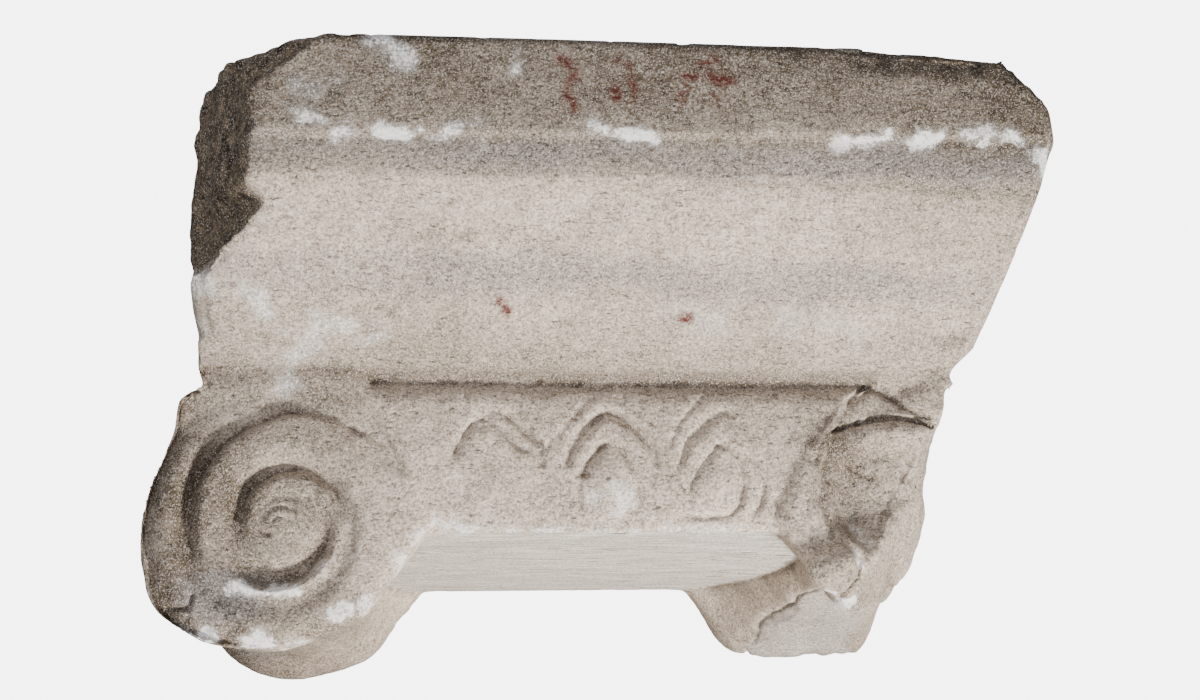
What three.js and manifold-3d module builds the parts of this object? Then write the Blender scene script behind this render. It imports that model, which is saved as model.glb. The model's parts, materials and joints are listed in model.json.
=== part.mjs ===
// Ionic impost capital of grey-veined marble, carved from one block: a flaring impost over
// an Ionic part with four volutes, two bolsters and an echinus of pointed leaves.
// Millimetres, +Z up, the carved front towards -Y, the origin under the middle of its box.
import * as THREE from "three";
import { mergeVertices } from "three/addons/utils/BufferGeometryUtils.js";
import Module from "manifold-3d";

const wasm = await Module();
wasm.setup();

// ---- Driving dimensions ----
const BED_Z = 77; // underside that lies on the column
const GROOVE_Z = 184; // groove between the echinus and the impost
const TOP_Z = 387;
const IMPOST_TOP_X = 288; // half the impost's width and depth at its top
const IMPOST_TOP_Y = 335;
const FACE_Y = 221; // the volutes' faces, front and back
const ECHINUS_Y = 217; // the fullest part of the echinus
const VOLUTE_X = 225; // centre of a volute's outline
const VOLUTE_Z = 84;
const VOLUTE_R = 85;
const WAIST_R = 50; // bolster at mid depth
const LEAF_PITCH = 79.5;
const LEAF_X = 4; // middle leaf
const REST_Z = 0; // worn flats on which the capital stands
const BROKEN_RIM_Z = 9; // underside of the worn back right rim

const { sin, cos, PI, hypot, min, max, abs } = Math;
const v3 = (x, y, z) => new THREE.Vector3(x, y, z);
const mix = (a, b, t) => a + (b - a) * t;
const degrees = THREE.MathUtils.degToRad;

// ---- Solids and meshes ----

// A closed geometry as a manifold solid.
function solidOf(geometry) {
  const bare = geometry.index ? geometry.toNonIndexed() : geometry.clone();
  bare.deleteAttribute("normal");
  bare.deleteAttribute("uv");
  const merged = mergeVertices(bare, 1e-3);
  return new wasm.Manifold(
    new wasm.Mesh({
      numProp: 3,
      vertProperties: merged.attributes.position.array,
      triVerts: new Uint32Array(merged.index.array),
    }),
  );
}

// A manifold solid as a geometry with flat facets.
function geometryOf(solid) {
  const mesh = solid.getMesh();
  const geometry = new THREE.BufferGeometry();
  const points = new Float32Array(mesh.numVert * 3);
  for (let i = 0; i < mesh.numVert; i++) {
    points.set(mesh.vertProperties.subarray(i * mesh.numProp, i * mesh.numProp + 3), i * 3);
  }
  geometry.setAttribute("position", new THREE.BufferAttribute(points, 3));
  geometry.setIndex(new THREE.BufferAttribute(new Uint32Array(mesh.triVerts), 1));
  geometry.computeVertexNormals();
  return geometry;
}

// Joins rings of equal length into a closed solid.
function loft(rings) {
  const count = rings[0].length;
  const middle = (ring) => ring.reduce((a, p) => a.add(p), v3(0, 0, 0)).divideScalar(count);
  const points = [...rings.flat(), middle(rings[0]), middle(rings.at(-1))];
  const first = rings.length * count;
  const faces = [];
  for (let j = 0; j < count; j++) {
    const k = (j + 1) % count;
    for (let i = 0; i + 1 < rings.length; i++) {
      const [a, b, c, d] = [i * count + j, i * count + k, (i + 1) * count + k, (i + 1) * count + j];
      faces.push(a, b, c, a, c, d);
    }
    faces.push(first, k, j);
    faces.push(first + 1, first - count + j, first - count + k);
  }
  const geometry = new THREE.BufferGeometry().setFromPoints(points);
  geometry.setIndex(faces);
  const solid = solidOf(geometry);
  if (solid.volume() > 0) return solid;
  geometry.setIndex(faces.slice().reverse());
  return solidOf(geometry);
}

// Slow unevenness of a worn surface, between about -1 and 1.
function unevenness(p, wavelength) {
  const k = (2 * PI) / wavelength;
  const a = sin(k * p.x + 1.7 * sin(0.63 * k * p.y + 0.4) + 0.9);
  const b = sin(k * 0.81 * p.y + 1.9 * sin(0.57 * k * p.z + 2.1));
  const c = sin(k * 1.13 * p.z + 1.6 * sin(0.71 * k * p.x + 4.2));
  return (a + b + c) / 3;
}

// Smooth closed or open curve through [parameter, value] stops, read at any parameter.
function stops(list) {
  return (at) => {
    const i = list.findIndex(([t]) => t > at);
    if (i === 0) return list[0][1];
    if (i < 0) return list.at(-1)[1];
    const [t0, a] = list[i - 1];
    const [t1, b] = list[i];
    const u = (at - t0) / (t1 - t0);
    return mix(a, b, u * u * (3 - 2 * u));
  };
}

// ---- Impost ----

// Half widths at each height: left, right, front and back, and the corner's worn radius.
const IMPOST_SECTIONS = [
  [150, 262, 238, 196, 14],
  [GROOVE_Z - 4, 268, 248, 205, 14],
  [GROOVE_Z + 3, 273, 254, 210, 16],
  [GROOVE_Z + 9, 276, 259, 222, 18],
  [206, 278, 266, 235, 18],
  [230, 281, 273, 260, 17],
  [262, 285, 281, 294, 16],
  [288, 287, 286, 322, 14],
  [294, 288, 287, 327, 12],
  [306, 288, 290, 330, 12],
  [317, 289, 293, 332, 12],
  [322, IMPOST_TOP_X, IMPOST_TOP_X + 7, IMPOST_TOP_Y, 10],
  [348, IMPOST_TOP_X - 1, IMPOST_TOP_X + 6, IMPOST_TOP_Y, 10],
  [TOP_Z - 2, IMPOST_TOP_X, IMPOST_TOP_X + 5, IMPOST_TOP_Y, 10],
  [TOP_Z, IMPOST_TOP_X - 3, IMPOST_TOP_X + 2, IMPOST_TOP_Y - 3, 12],
];
const CORNER_STEPS = 3;
const SIDE_STEPS = 7;
const WEAR = 1.2; // how uneven the worn faces are

function impostRing([z, left, right, depth, radius]) {
  const corners = [
    [right - radius, -depth + radius, -90],
    [right - radius, depth - radius, 0],
    [-left + radius, depth - radius, 90],
    [-left + radius, -depth + radius, 180],
  ];
  const arcs = corners.map(([x, y, start]) =>
    Array.from({ length: CORNER_STEPS + 1 }, (_, i) => {
      const a = degrees(start + (90 * i) / CORNER_STEPS);
      return v3(x + radius * cos(a), y + radius * sin(a), z);
    }),
  );
  const ring = [];
  arcs.forEach((arc, i) => {
    ring.push(...arc);
    const from = arc.at(-1);
    const to = arcs[(i + 1) % arcs.length][0];
    for (let s = 1; s < SIDE_STEPS; s++) ring.push(from.clone().lerp(to, s / SIDE_STEPS));
  });
  const flat = z === TOP_Z || z === IMPOST_SECTIONS[0][0];
  return ring.map((p) => {
    const out = v3(p.x, p.y, 0).normalize();
    const worn = p.clone().addScaledVector(out, WEAR * unevenness(p, 90));
    if (!flat) worn.z += WEAR * unevenness(p, 140);
    return worn;
  });
}

const impost = () => loft(IMPOST_SECTIONS.map(impostRing));

// ---- Echinus ----

// Side profile [y, z] of the front half, from the bed up into the impost.
const ECHINUS_PROFILE = [
  [ECHINUS_Y - 7, BED_Z],
  [ECHINUS_Y - 3, BED_Z + 14],
  [ECHINUS_Y - 1, BED_Z + 38],
  [ECHINUS_Y, BED_Z + 66],
  [ECHINUS_Y - 1, GROOVE_Z - 17],
  [ECHINUS_Y - 5, GROOVE_Z - 9],
  [ECHINUS_Y - 12, GROOVE_Z - 3],
  [ECHINUS_Y - 14, GROOVE_Z + 12],
];
const ECHINUS_HALF_WIDTH = 200;

function echinus() {
  const front = ECHINUS_PROFILE.map(([y, z]) => new THREE.Vector2(-y, z));
  const back = ECHINUS_PROFILE.map(([y, z]) => new THREE.Vector2(y + 2, z)).reverse();
  const block = new THREE.ExtrudeGeometry(new THREE.Shape([...front, ...back]), {
    depth: 2 * ECHINUS_HALF_WIDTH,
    bevelEnabled: false,
    steps: 1,
  });
  // The shape's plane is turned from XY to YZ and its depth from Z to X.
  block.applyMatrix4(new THREE.Matrix4().makeBasis(v3(0, 1, 0), v3(0, 0, 1), v3(1, 0, 0)));
  block.translate(-ECHINUS_HALF_WIDTH, 0, 0);
  return solidOf(block);
}

// ---- Bolsters and volutes ----

// A volute's worn outline: [degrees from the inner side, anticlockwise on the right, radius].
// It runs into the echinus at 0 and into the impost from 45 to 125.
const VOLUTE_OUTLINE = stops([
  [0, 107],
  [30, 101],
  [90, 102],
  [124, 101],
  [138, 91],
  [152, 87],
  [180, 87],
  [200, 90],
  [215, 94],
  [235, 91],
  [258, 85],
  [288, VOLUTE_R - 2],
  [318, VOLUTE_R + 2],
  [333, VOLUTE_R + 1],
  [346, 92],
  [360, 107],
]);
const BOLSTER_STEPS = 48;

// [distance from mid depth, share of the end's outline, inset from it]
const BOLSTER_SECTIONS = [
  [FACE_Y, 1, 11],
  [FACE_Y - 2, 1, 5],
  [FACE_Y - 6, 1, 1],
  [FACE_Y - 16, 1, 0],
  [FACE_Y - 36, 0.97, 0],
  [FACE_Y - 46, 0.82, 0],
  [FACE_Y - 60, 0.64, 0],
  [125, 0.4, 0],
  [70, 0.13, 0],
  [0, 0, 0],
];

function bolsterRing(side, y, share, inset) {
  return Array.from({ length: BOLSTER_STEPS }, (_, i) => {
    const turn = (360 * i) / BOLSTER_STEPS;
    const r = mix(WAIST_R, VOLUTE_OUTLINE(turn), share) - inset;
    const a = degrees(turn);
    const p = v3(-side * r * cos(a) + side * VOLUTE_X, y, VOLUTE_Z + r * sin(a));
    const wear = WEAR * unevenness(p, 70) * (0.4 + share);
    return p.addScaledVector(v3(-side * cos(a), 0, sin(a)), wear);
  });
}

function bolster(side) {
  const front = BOLSTER_SECTIONS.map(([y, ...rest]) => bolsterRing(side, -y, ...rest));
  const back = BOLSTER_SECTIONS.slice(0, -1)
    .map(([y, ...rest]) => bolsterRing(side, y, ...rest))
    .reverse();
  return loft([...front, ...back]);
}

// A groove sunk into a face that looks along -Y or +Y: a closed bar swept along a path of
// points {x, z, width, depth}. Its top stands clear of the face.
function groove(path, faceY, outward) {
  const lift = 9;
  const rings = path.map((p, i) => {
    const before = path[max(i - 1, 0)];
    const after = path[min(i + 1, path.length - 1)];
    const run = hypot(after.x - before.x, after.z - before.z);
    const [nx, nz] = [-(after.z - before.z) / run, (after.x - before.x) / run];
    const half = p.width / 2;
    const flare = 1 + lift / max(p.depth, 2) / 3;
    const section = [
      [-half * flare, lift],
      [-half, 0],
      [-half * 0.45, -p.depth * 0.8],
      [0, -p.depth],
      [half * 0.45, -p.depth * 0.8],
      [half, 0],
      [half * flare, lift],
    ];
    return section.map(([s, h]) => v3(p.x + nx * s, faceY + outward * h, p.z + nz * s));
  });
  return loft(rings);
}

// The volute's spiral groove. It starts above the inner side, passes over the top and winds
// outwards and down to the eye: radius, width and depth at each angle from the top.
const SPIRAL_RADIUS = stops([
  [-40, 76],
  [0, 77],
  [90, 63],
  [180, 53],
  [270, 45],
  [360, 38.5],
  [450, 30],
  [540, 33],
  [630, 28.5],
  [720, 19],
  [810, 14],
  [900, 9],
]);
const SPIRAL_WIDTH = stops([
  [-40, 10],
  [40, 17],
  [180, 20],
  [300, 12],
  [390, 15],
  [540, 16],
  [720, 9],
  [900, 6],
]);
const SPIRAL_DEPTH = stops([
  [-40, 1],
  [0, 7],
  [60, 9],
  [130, 6],
  [180, 3.5],
  [270, 3],
  [350, 6],
  [410, 6],
  [460, 3.5],
  [540, 6],
  [640, 3],
  [760, 2.5],
  [900, 1.5],
]);
const EYE_X = VOLUTE_X - 6;
const EYE_Z = VOLUTE_Z - 2;

function spiralGroove(side, end, step, lastAngle) {
  const path = [];
  for (let angle = -40; angle <= lastAngle; angle += step) {
    const a = degrees(angle);
    path.push({
      x: side * (EYE_X + SPIRAL_RADIUS(angle) * sin(a)),
      z: EYE_Z + SPIRAL_RADIUS(angle) * cos(a),
      width: SPIRAL_WIDTH(angle),
      depth: SPIRAL_DEPTH(angle),
    });
  }
  return groove(path, end * FACE_Y, end);
}

// ---- Leaves on the echinus ----

// A pointed arch of two bowed legs, from one foot over the tip to the other.
function archPath(x, tip, foot, half, width, depth, from = 0, to = 1) {
  const steps = 10;
  const path = [];
  for (let i = 0; i <= steps; i++) {
    const t = mix(from, to, i / steps);
    const side = t < 0.5 ? -1 : 1;
    const u = abs(2 * t - 1); // 1 at a foot, 0 at the tip
    path.push({ x: x + side * half * sin((u * PI) / 2), z: mix(tip, foot, u ** 1.35), width, depth });
  }
  return path;
}

// A leaf: outer shell, inner shell and the drop-shaped egg. kept says how far each line of
// a worn leaf still runs, as a share of its length from the left foot.
function leaf(x, kept) {
  const lines = [
    archPath(x, 173, 134, 38, 5, 2.5, ...kept.outer),
    archPath(x, 162, 122, 31, 9, 4, ...kept.inner),
  ];
  if (kept.egg) lines.push(archPath(x, 141, 86, 21, 6, 3, ...kept.egg));
  return lines.map((path) => groove(path, -ECHINUS_Y, -1));
}

const LEAVES = [
  { x: LEAF_X - LEAF_PITCH, kept: { outer: [0.42, 1], inner: [0.08, 1] } },
  { x: LEAF_X, kept: { outer: [0, 1], inner: [0, 1], egg: [0, 1] } },
  { x: LEAF_X + LEAF_PITCH, kept: { outer: [0, 0.55], inner: [0, 0.6], egg: [0.05, 1] } },
];
const BACK_LEAVES = [-1, 0, 1].map((i) => LEAF_X + i * LEAF_PITCH);

function backLeaf(x) {
  return groove(archPath(x, 164, 112, 32, 9, 3), ECHINUS_Y + 2, 1);
}

// ---- Breaks ----

// A block that cuts away everything on the outer side of a rough fracture plane through
// `at`. `out` points out of the stone and `along` is one direction in the plane.
function fracture({ at, out, along, size, bulge = 0, rough = 2.5, cells = 8 }) {
  const n = v3(...out).normalize();
  const u = v3(...along).addScaledVector(n, -v3(...along).dot(n)).normalize();
  const w = n.clone().cross(u);
  const [length, height] = size;
  const centre = v3(...at);
  const place = (i, j, far) => {
    const [s, t] = [i / cells - 0.5, j / cells - 0.5];
    const p = centre.clone().addScaledVector(u, s * length).addScaledVector(w, t * height);
    const relief = far ? 120 : bulge * (1 - 4 * s * s) + rough * unevenness(p, 38);
    return p.addScaledVector(n, relief);
  };
  const rings = [];
  // Rings run round the block from its near face to its far face, one cell row at a time.
  for (let i = 0; i <= cells; i++) {
    const near = Array.from({ length: cells + 1 }, (_, j) => place(i, j, false));
    const far = Array.from({ length: 2 }, (_, j) => place(i, (1 - j) * cells, true));
    rings.push([...near, ...far]);
  }
  return loft(rings);
}

const BREAKS = [
  // The front left corner of the impost, split off down to half its height.
  {
    at: [-260, -265, 345],
    out: [-0.925, -0.364, 0.05],
    along: [-0.364, 0.932, 0],
    size: [260, 208],
    bulge: 7,
    rough: 4.5,
    cells: 12,
  },
  { at: [-284, -258, 252], out: [-0.72, -0.5, 0.48], along: [-0.5, 0.86, 0.1], size: [190, 74] },
  // The top arris above that corner.
  { at: [-226, -325, 369], out: [-0.46, -0.66, 0.6], along: [-0.6, 0.5, 0.1], size: [170, 80] },
  // The top of the front right corner, and the arris worn down beside it.
  { at: [281, -322, 366], out: [0.62, -0.42, 0.62], along: [0.5, 0.86, 0], size: [150, 120] },
  { at: [255, -333, 377], out: [0.06, -0.5, 0.87], along: [1, 0, 0], size: [170, 60], rough: 1 },
  // The outer half of the front right volute, back to the bolster's waist.
  {
    at: [256, -80, 81],
    out: [0.93, -0.255, -0.19],
    along: [0.27, 0.95, 0],
    size: [500, 204],
    rough: 2.5,
    cells: 12,
  },
  { at: [206, -206, 88], out: [0.78, -0.5, -0.38], along: [0.6, 0.8, 0], size: [150, 230] },
  { at: [234, -60, 36], out: [0.77, -0.16, -0.62], along: [0.2, 0.97, 0], size: [330, 150] },
  // A chip low on the outer side of the front left volute.
  { at: [-307, -212, 40], out: [-0.8, -0.55, -0.2], along: [0.1, 0.3, 1], size: [66, 70] },
];

// The underside of the right bolster: worn under the front volute, split off behind it and
// down to the flattened back rim, at each distance from mid depth.
const BROKEN_UNDERSIDE = stops([
  [-FACE_Y - 20, 20],
  [-FACE_Y + 36, 24],
  [-125, 46],
  [0, 48],
  [110, 32],
  [FACE_Y - 30, BROKEN_RIM_Z],
  [FACE_Y + 20, BROKEN_RIM_Z],
]);

function brokenUnderside() {
  const [left, right, step, across] = [160, 340, 22, 6];
  const rings = [];
  for (let y = -FACE_Y - 20; y <= FACE_Y + 20; y += step) {
    const top = Array.from({ length: across + 1 }, (_, i) => {
      const p = v3(mix(right, left, i / across), y, BROKEN_UNDERSIDE(y));
      p.z += 2 * unevenness(p, 52);
      return p;
    });
    rings.push([...top, v3(left - 12, y, -40), v3(right, y, -40)]);
  }
  return loft(rings);
}

// The face of the front right volute is lost: a shallow rough scoop.
function scoop() {
  const hollow = new THREE.IcosahedronGeometry(1, 4);
  const position = hollow.attributes.position;
  for (let i = 0; i < position.count; i++) {
    const p = v3().fromBufferAttribute(position, i).multiply(v3(58, 40, 54));
    p.add(v3(204, -242, 100));
    p.addScaledVector(v3(0, 1, 0), 3 * unevenness(p, 45));
    position.setXYZ(i, p.x, p.y, p.z);
  }
  return solidOf(hollow);
}

// A round boss left at the lower inner edge of that volute.
function boss() {
  const dome = new THREE.SphereGeometry(1, 20, 10);
  dome.scale(21, 12, 17);
  dome.translate(157, -FACE_Y + 4, 51);
  return solidOf(dome);
}

// ---- The capital ----

function capital() {
  let stone = impost().add(echinus()).add(bolster(-1)).add(bolster(1));
  const cutters = [
    spiralGroove(-1, -1, 12, 900),
    spiralGroove(-1, 1, 18, 720),
    spiralGroove(1, 1, 18, 720),
    ...LEAVES.flatMap(({ x, kept }) => leaf(x, kept)),
    ...BACK_LEAVES.map(backLeaf),
    scoop(),
    ...BREAKS.map(fracture),
    brokenUnderside(),
  ];
  for (const cutter of cutters) stone = stone.subtract(cutter);
  stone = stone.add(boss());
  const floor = new THREE.BoxGeometry(900, 900, 60);
  floor.translate(0, 0, REST_Z - 30);
  stone = stone.subtract(solidOf(floor));
  // Crumbs that the breaks leave loose fall away.
  const bodies = stone.decompose();
  return bodies.reduce((a, b) => (a.volume() > b.volume() ? a : b));
}

const marble = new THREE.MeshStandardMaterial({
  name: "marble",
  color: 0xa9a198,
  roughness: 0.82,
  metalness: 0,
});
const geometry = geometryOf(capital());
geometry.computeBoundingBox();
const middle = geometry.boundingBox.getCenter(v3());
geometry.translate(-middle.x, -middle.y, -geometry.boundingBox.min.z);

const mesh = new THREE.Mesh(geometry, marble);
mesh.name = "capital";

const model = new THREE.Group();
model.add(mesh);

export default model;
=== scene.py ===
"""Ionic impost capital: one block of grey-veined marble, carved, worn and broken.

The stone is sculpted from the frame's solid: remeshed finely, then cut, broken and weathered
by moving its points. Metres, +Z up, the carved front looks along -Y."""

import math

import bmesh
import bpy
import numpy as np
from mathutils import Matrix, Vector
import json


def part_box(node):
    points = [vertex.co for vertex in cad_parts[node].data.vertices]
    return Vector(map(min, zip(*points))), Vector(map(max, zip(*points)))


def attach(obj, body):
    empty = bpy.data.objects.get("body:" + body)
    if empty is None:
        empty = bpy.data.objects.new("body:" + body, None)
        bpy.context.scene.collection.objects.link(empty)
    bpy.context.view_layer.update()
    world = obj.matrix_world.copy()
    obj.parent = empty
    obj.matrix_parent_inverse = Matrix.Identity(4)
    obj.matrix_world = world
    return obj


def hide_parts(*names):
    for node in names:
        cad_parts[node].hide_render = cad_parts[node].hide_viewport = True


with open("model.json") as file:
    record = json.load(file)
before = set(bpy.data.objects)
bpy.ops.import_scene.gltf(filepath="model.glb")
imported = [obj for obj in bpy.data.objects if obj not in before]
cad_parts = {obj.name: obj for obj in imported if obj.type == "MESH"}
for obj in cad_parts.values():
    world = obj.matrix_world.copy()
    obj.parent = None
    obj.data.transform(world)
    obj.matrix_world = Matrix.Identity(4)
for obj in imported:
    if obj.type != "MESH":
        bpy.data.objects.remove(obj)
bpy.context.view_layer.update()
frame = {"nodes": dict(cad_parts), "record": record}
MOUNTS = {mount["name"]: Vector(mount["pos_m"]) for mount in frame["record"]["mounts"]}

# ---- Driving sizes ----
MM = 0.001
LOW, HIGH = (Vector(corner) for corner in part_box("capital"))
BED_Z = MOUNTS["column_bed"].z
TOP_Z = MOUNTS["impost_top"].z
IMPOST_FRONT_Y = LOW.y
FACE_Y = -221 * MM  # the volutes' front faces
GROOVE_Z = 184 * MM  # groove between the echinus and the impost
VOLUTE_X = -225 * MM  # centre of the left volute
VOLUTE_Z = 84 * MM
EYE = (-219 * MM, 82 * MM)  # centre of its spiral, x and z
FASCIA_Z = 322 * MM  # lower arris of the impost's fascia
SLANT_Z = 290 * MM  # where the impost starts to slant in
FINE_VOXEL = 2.3 * MM
MOST_TRIANGLES = 192_000

# Fracture planes: a point on each, and the direction out of the stone.
CORNER_BREAK = ((-260 * MM, -265 * MM, 345 * MM), (-0.925, -0.364, 0.05))
CORNER_FOOT_BREAK = ((-284 * MM, -258 * MM, 252 * MM), (-0.72, -0.5, 0.48))
RIGHT_CORNER_CHIP = ((281 * MM, -322 * MM, 366 * MM), (0.62, -0.42, 0.62))
VOLUTE_BREAK = ((256 * MM, -80 * MM, 81 * MM), (0.93, -0.255, -0.19))
VOLUTE_FRONT_BREAK = ((206 * MM, -206 * MM, 88 * MM), (0.78, -0.5, -0.38))


# ---- Noise and small helpers ----

def smoothstep(low, high, value):
    t = np.clip((value - low) / (high - low), 0, 1)
    return t * t * (3 - 2 * t)


def noise(points, size, seed):
    """Smooth random values between -1 and 1; size is the distance between lumps."""
    table = np.random.default_rng(seed).uniform(-1, 1, (32, 32, 32)).astype(np.float32)
    at = points / np.asarray(size, np.float64)
    cell = np.floor(at).astype(np.int64)
    t = at - cell
    t = (t * t * (3 - 2 * t)).astype(np.float32)
    near, far = cell & 31, (cell + 1) & 31
    total = np.zeros(len(points), np.float32)
    for corner in range(8):
        picks, weight = [], 1.0
        for axis in range(3):
            high = corner >> axis & 1
            picks.append((far if high else near)[:, axis])
            weight = weight * (t[:, axis] if high else 1 - t[:, axis])
        total += weight * table[tuple(picks)]
    return total


def layered_noise(points, size, seed, layers=3):
    total = np.zeros(len(points), np.float32)
    for i in range(layers):
        total += noise(points, np.asarray(size) / 2.1**i, seed + i) / 1.8**i
    return total


def stops(table, at):
    """Values of a smooth curve through the (place, value) pairs of a table."""
    places, values = np.array(table, float).T
    i = np.clip(np.searchsorted(places, at) - 1, 0, len(places) - 2)
    t = np.clip((at - places[i]) / (places[i + 1] - places[i]), 0, 1)
    t = t * t * (3 - 2 * t)
    return values[i] + (values[i + 1] - values[i]) * t


# ---- The stone's points ----

class Stone:
    """The points of a mesh as arrays, with what sculpting needs to know about them."""

    def __init__(self, mesh):
        self.mesh = mesh
        self.count = len(mesh.vertices)
        self.points = np.empty(self.count * 3, np.float32)
        mesh.vertices.foreach_get("co", self.points)
        self.points = self.points.reshape(-1, 3).astype(np.float64)
        edges = np.empty(len(mesh.edges) * 2, np.int32)
        mesh.edges.foreach_get("vertices", edges)
        self.edges = edges.reshape(-1, 2)
        self.degree = np.bincount(edges, minlength=self.count).astype(np.float64)
        self.update()

    def update(self):
        """Writes the points into the mesh and reads its normals."""
        self.mesh.vertices.foreach_set("co", self.points.astype(np.float32).ravel())
        self.mesh.update()
        normals = np.empty(self.count * 3, np.float32)
        self.mesh.vertex_normals.foreach_get("vector", normals)
        self.normals = normals.reshape(-1, 3).astype(np.float64)

    def neighbour_mean(self, values):
        a, b = self.edges.T
        total = np.zeros_like(values)
        columns = [values] if values.ndim == 1 else list(values.T)
        for i, column in enumerate(columns):
            summed = np.bincount(a, column[b], self.count) + np.bincount(b, column[a], self.count)
            if values.ndim == 1:
                total = summed / self.degree
            else:
                total[:, i] = summed / self.degree
        return total

    def smooth(self, rounds, strength=0.6):
        """strength is a number or one for each point."""
        strength = np.broadcast_to(strength, self.count)[:, None]
        for _ in range(rounds):
            self.points += strength * (self.neighbour_mean(self.points) - self.points)
        self.update()

    def push(self, distance):
        """Moves the points along their normals, inwards where distance is negative."""
        self.points += self.normals * distance[:, None]
        self.update()

    def hollowness(self, rounds):
        """How deep each point lies in a hollow, in metres; negative on ridges."""
        blurred = self.points.copy()
        for _ in range(rounds):
            blurred = self.neighbour_mean(blurred)
        lift = ((blurred - self.points) * self.normals).sum(1)
        for _ in range(2):
            lift = self.neighbour_mean(lift)
        return lift

    def near_plane(self, plane, reach):
        """1 on a fracture plane and outside it, fading to 0 at reach inside the stone."""
        at, out = plane
        out = np.array(out) / np.linalg.norm(out)
        return smoothstep(-reach, -0.25 * reach, (self.points - at) @ out)


def remeshed(name, voxel):
    """A fine even mesh of a frame node's solid."""
    mesh = frame["nodes"][name].data.copy()
    solid = bmesh.new()
    solid.from_mesh(mesh)
    bmesh.ops.remove_doubles(solid, verts=solid.verts, dist=1e-5)
    solid.to_mesh(mesh)
    solid.free()
    coarse = bpy.data.objects.new("coarse", mesh)
    bpy.context.scene.collection.objects.link(coarse)
    remesh = coarse.modifiers.new("even grain", "REMESH")
    remesh.mode = "VOXEL"
    remesh.voxel_size = voxel
    seen = coarse.evaluated_get(bpy.context.evaluated_depsgraph_get())
    fine = bpy.data.meshes.new_from_object(seen)
    bpy.data.objects.remove(coarse)
    return fine


def split_front(mesh):
    """Splits the faces of the carved front in four, where the relief needs them."""
    surface = bmesh.new()
    surface.from_mesh(mesh)
    edges = set()
    for face in surface.faces:
        middle = face.calc_center_median()
        if middle.z < GROOVE_Z + 14 * MM and middle.y < FACE_Y + 22 * MM and face.normal.y < -0.25:
            edges.update(face.edges)
    bmesh.ops.subdivide_edges(surface, edges=list(edges), cuts=1, use_grid_fill=True)
    surface.to_mesh(mesh)
    surface.free()


# ---- Carving ----

def route_distance(x, z, route):
    """Distance from a route of (x, z) in millimetres, how far along it, and its length."""
    route = np.array(route, float) * MM
    best = np.full(len(x), np.inf)
    along = np.zeros(len(x))
    lengths = np.linalg.norm(np.diff(route, axis=0), axis=1)
    starts = np.concatenate([[0], np.cumsum(lengths)])
    for i, length in enumerate(lengths):
        run = (route[i + 1] - route[i]) / length
        dx, dz = x - route[i, 0], z - route[i, 1]
        t = np.clip(dx * run[0] + dz * run[1], 0, length)
        distance = np.hypot(dx - t * run[0], dz - t * run[1])
        closer = distance < best
        best = np.where(closer, distance, best)
        along = np.where(closer, starts[i] + t, along)
    return best, along, starts[-1]


def stroke(x, z, route, width, depth):
    """Depth of a worn V-shaped groove along a route, shallower towards both ends."""
    distance, along, total = route_distance(x, z, route)
    ends = smoothstep(0, 0.2 * total, along) * smoothstep(0, 0.2 * total, total - along)
    u = np.clip(distance / (0.5 * width * MM), 0, 1)
    return depth * MM * (1 - u) ** 1.4 * (0.2 + 0.8 * ends)


def dome(x, z, centre, radii, height):
    """Height of a soft round swelling."""
    u = np.hypot((x - centre[0] * MM) / (radii[0] * MM), (z - centre[1] * MM) / (radii[1] * MM))
    return height * MM * np.clip(1 - u * u, 0, 1) ** 1.5


# Cuts in the front: route of (x, z), width and depth, all in millimetres.
LEAF_CUTS = [
    # middle leaf: rib, outline, inner leaf, egg
    ([(-27, 124), (-22, 136), (-15, 147), (-6, 156), (2, 161), (11, 158), (22, 146), (34, 132)], 12, 5.5),
    ([(-36, 140), (-22, 159), (-10, 170), (-2, 174)], 7, 2.6),
    ([(6, 170), (25, 158), (38, 148)], 7, 2.0),
    ([(-17, 110), (-13, 125), (-6, 134), (3, 142)], 10, 4.2),
    ([(1, 142), (12, 131), (20, 116)], 7, 2.0),
    ([(-16, 90), (-19, 102), (-17, 116)], 7, 2.4),
    ([(20, 112), (24, 98), (19, 87)], 7, 3.2),
    # right leaf
    ([(47, 144), (58, 160), (67, 170), (78, 177)], 7, 3.4),
    ([(48, 116), (57, 136), (67, 148), (83, 161)], 11, 5.5),
    ([(86, 160), (98, 152), (108, 141)], 6, 1.4),
    ([(58, 107), (68, 125), (78, 137), (84, 142)], 9, 4.0),
    ([(83, 142), (94, 127), (97, 111), (94, 96), (87, 89), (69, 86), (51, 88), (44, 93)], 8, 3.6),
    ([(94, 136), (106, 122), (111, 110), (108, 96), (98, 86)], 8, 3.0),
    ([(104, 142), (116, 128), (121, 112)], 7, 1.4),
    # left leaf, nearly gone
    ([(-107, 126), (-100, 138), (-96, 147), (-88, 155)], 14, 4.4),
    ([(-92, 154), (-80, 153), (-71, 146), (-59, 136), (-46, 130)], 9, 4.0),
    ([(-74, 163), (-57, 148), (-40, 135)], 8, 2.6),
    ([(-46, 131), (-38, 140)], 7, 1.6),
]
# Soft rolls and swellings: centre (x, z), radii and height.
LEAF_SWELLINGS = [
    ((3, 108), (20, 26), 3.5),
    ((76, 108), (19, 22), 3.5),
    ((-74, 112), (26, 26), 2.5),
    ((-10, 144), (9, 12), 1.6),
    ((16, 143), (10, 12), 1.2),
    ((60, 131), (9, 14), 1.6),
]
# What is left of the left volute's eye, and a chip low on its rim.
EYE_CUTS = [
    ([(-230, 87), (-226, 93), (-218, 95), (-211, 91), (-209, 85)], 6, 2.6),
    ([(-227, 83), (-222, 87), (-216, 86), (-213, 82)], 5, 2.0),
    ([(-232, 78), (-225, 75)], 7, 2.8),
    ([(-297, 30), (-288, 27), (-278, 28), (-275, 40)], 6, 5.0),
    ([(-264, 128), (-258, 134)], 5, 1.5),
]
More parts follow.
